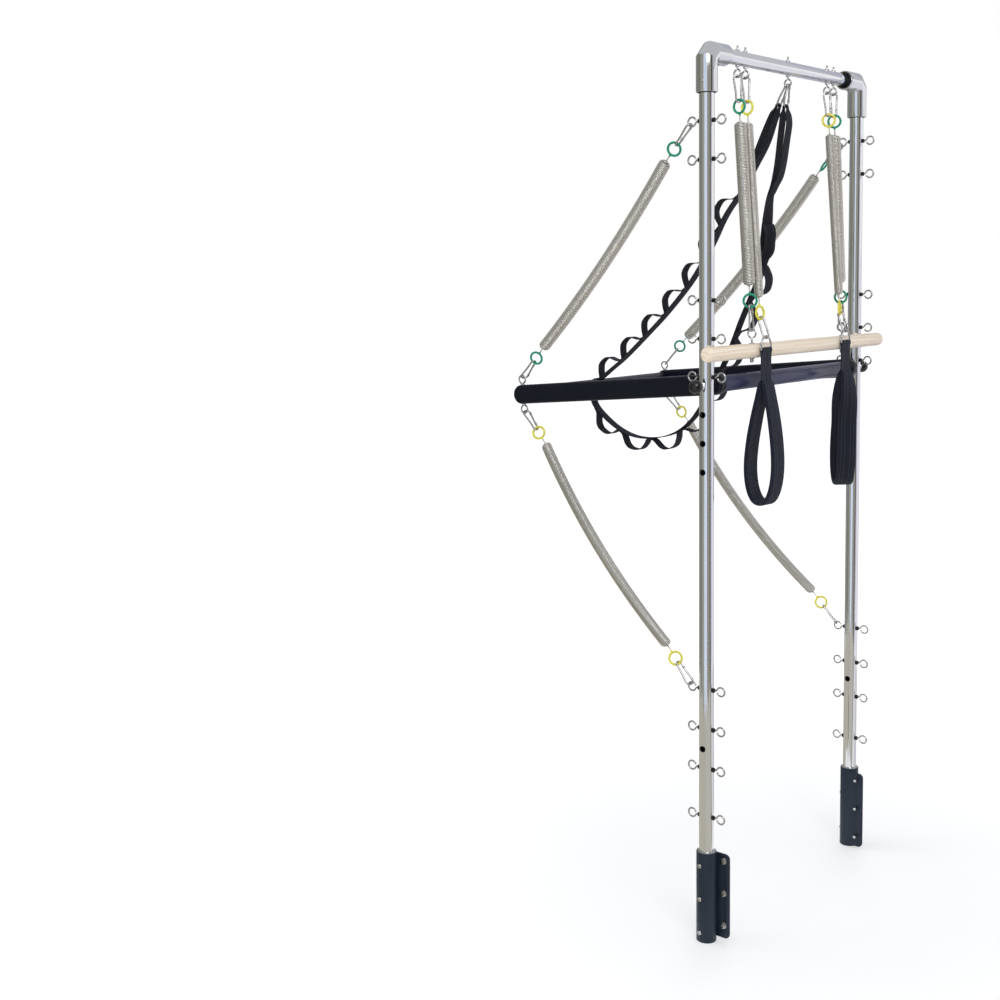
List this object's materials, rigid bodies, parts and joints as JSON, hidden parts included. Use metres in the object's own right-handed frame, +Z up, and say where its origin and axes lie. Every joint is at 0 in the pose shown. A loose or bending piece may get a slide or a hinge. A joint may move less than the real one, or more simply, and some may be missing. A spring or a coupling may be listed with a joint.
{
  "type": "pilates tower unit",
  "caption": "Goal-post steel tower with a sprung push-through bar, a hanging roll-down bar, strap handles on springs and a looped ladder strap.",
  "frame": {"origin": "midway between the uprights, level with the foot of their sockets", "axes": "+Z up the uprights, +Y from the left upright to the right one, -X along the bed towards its carriage, +X towards the end of the bed"},
  "size_m": [0.652, 0.7814, 1.931],
  "materials": {
    "polished_chrome": "polished chrome",
    "cast_alloy": "polished cast alloy",
    "zinc_plate": "bright zinc plate",
    "spring_steel": "nickel-plated spring wire with coated end rings",
    "slate_coat": "satin powder coat",
    "navy_coat": "satin powder coat",
    "gloss_black": "gloss",
    "beech": "clear satin varnish",
    "webbing": "woven nylon webbing",
    "padding": "padded webbing cover"
  },
  "bodies": {
    "tower": {"left_upright": "polished_chrome", "left_elbow": "cast_alloy", "left_socket": "slate_coat", "left_upright_upper_eyebolt": "zinc_plate", "left_upright_lower_eyebolt": "zinc_plate", "right_upright": "polished_chrome", "right_elbow": "cast_alloy", "right_socket": "slate_coat", "right_upright_upper_eyebolt": "zinc_plate", "right_upright_lower_eyebolt": "zinc_plate", "crossbar": "polished_chrome", "crossbar_left_roll_eyebolt": "zinc_plate", "crossbar_left_handle_eyebolt": "zinc_plate", "crossbar_middle_eyebolt": "zinc_plate", "crossbar_right_handle_eyebolt": "zinc_plate", "crossbar_right_roll_eyebolt": "zinc_plate", "left_upper_upright_clip": "zinc_plate", "left_upper_push_spring": "spring_steel", "left_lower_upright_clip": "zinc_plate", "left_lower_push_spring": "spring_steel", "right_upper_upright_clip": "zinc_plate", "right_upper_push_spring": "spring_steel", "right_lower_upright_clip": "zinc_plate", "right_lower_push_spring": "spring_steel", "strap_first_clip": "zinc_plate", "strap_second_clip": "zinc_plate", "ladder_strap": "webbing"},
    "push_bar": {"push_bar_swing_tube": "navy_coat", "push_bar_pivot_tube": "navy_coat", "push_bar_left_arm": "navy_coat", "push_bar_left_eyebolt": "zinc_plate", "left_upper_push_bar_clip": "zinc_plate", "left_lower_push_bar_clip": "zinc_plate", "push_bar_right_arm": "navy_coat", "push_bar_right_eyebolt": "zinc_plate", "right_upper_push_bar_clip": "zinc_plate", "right_lower_push_bar_clip": "zinc_plate"},
    "left_pin": {"left_pull_pin": "polished_chrome", "left_pin_knob": "gloss_black"},
    "right_pin": {"right_pull_pin": "polished_chrome", "right_pin_knob": "gloss_black"},
    "roll_down_hanger": {"roll_down_left_top_clip": "zinc_plate", "roll_down_left_spring": "spring_steel", "roll_down_right_top_clip": "zinc_plate", "roll_down_right_spring": "spring_steel"},
    "roll_down_bar": {"roll_down_bar": "beech", "roll_down_left_low_clip": "zinc_plate", "roll_down_left_eyebolt": "zinc_plate", "roll_down_right_low_clip": "zinc_plate", "roll_down_right_eyebolt": "zinc_plate"},
    "left_handle_hanger": {"left_handle_top_clip": "zinc_plate", "left_handle_spring": "spring_steel"},
    "left_handle": {"left_handle_low_clip": "zinc_plate", "left_handle_dee_ring": "zinc_plate", "left_handle_loop": "padding"},
    "right_handle_hanger": {"right_handle_top_clip": "zinc_plate", "right_handle_spring": "spring_steel"},
    "right_handle": {"right_handle_low_clip": "zinc_plate", "right_handle_dee_ring": "zinc_plate", "right_handle_loop": "padding"}
  },
  "joints": [
    {"name": "push_bar_swing", "type": "hinge", "parent": "tower", "child": "push_bar", "pos_m": [0, 0, 1.217], "axis": [0, 1, 0], "range_deg": [-30, 30], "stiffness_Nm_per_rad": 190, "springref_deg": 5.16, "deforming": ["left_upper_push_spring", "left_lower_push_spring", "right_upper_push_spring", "right_lower_push_spring", "ladder_strap"]},
    {"name": "left_pin_pull", "type": "slide", "parent": "tower", "child": "left_pin", "axis": [0, -1, 0], "range_m": [0, 0.03]},
    {"name": "right_pin_pull", "type": "slide", "parent": "tower", "child": "right_pin", "axis": [0, 1, 0], "range_m": [0, 0.03]},
    {"name": "roll_down_pull", "type": "slide", "parent": "roll_down_hanger", "child": "roll_down_bar", "axis": [0, 0, -1], "range_m": [0, 0.35], "stiffness_N_per_m": 200, "springref_m": -0.1, "deforming": ["roll_down_left_spring", "roll_down_right_spring"]},
    {"name": "roll_down_swing", "type": "hinge", "parent": "tower", "child": "roll_down_hanger", "pos_m": [0, 0, 1.8693], "axis": [0, -1, 0], "range_deg": [0, 51]},
    {"name": "left_handle_swing", "type": "hinge", "parent": "roll_down_hanger", "child": "left_handle_hanger", "pos_m": [0, -0.1815, 1.8693], "axis": [0, -1, 0], "range_deg": [0, 7]},
    {"name": "left_handle_pull", "type": "slide", "parent": "left_handle_hanger", "child": "left_handle", "axis": [0.342, 0, -0.9397], "range_m": [0, 0.25], "stiffness_N_per_m": 120, "springref_m": -0.08, "deforming": ["left_handle_spring"]},
    {"name": "right_handle_swing", "type": "hinge", "parent": "roll_down_hanger", "child": "right_handle_hanger", "pos_m": [0, 0.1815, 1.8693], "axis": [0, -1, 0], "range_deg": [0, 7]},
    {"name": "right_handle_pull", "type": "slide", "parent": "right_handle_hanger", "child": "right_handle", "axis": [0.342, 0, -0.9397], "range_m": [0, 0.25], "stiffness_N_per_m": 120, "springref_m": -0.08, "deforming": ["right_handle_spring"]}
  ],
  "couplings": [
    {"joint": "roll_down_swing", "follows": "roll_down_pull", "rad_per_m": 2.5},
    {"joint": "left_handle_swing", "follows": "roll_down_pull", "rad_per_m": 0.33},
    {"joint": "right_handle_swing", "follows": "roll_down_pull", "rad_per_m": 0.33}
  ]
}
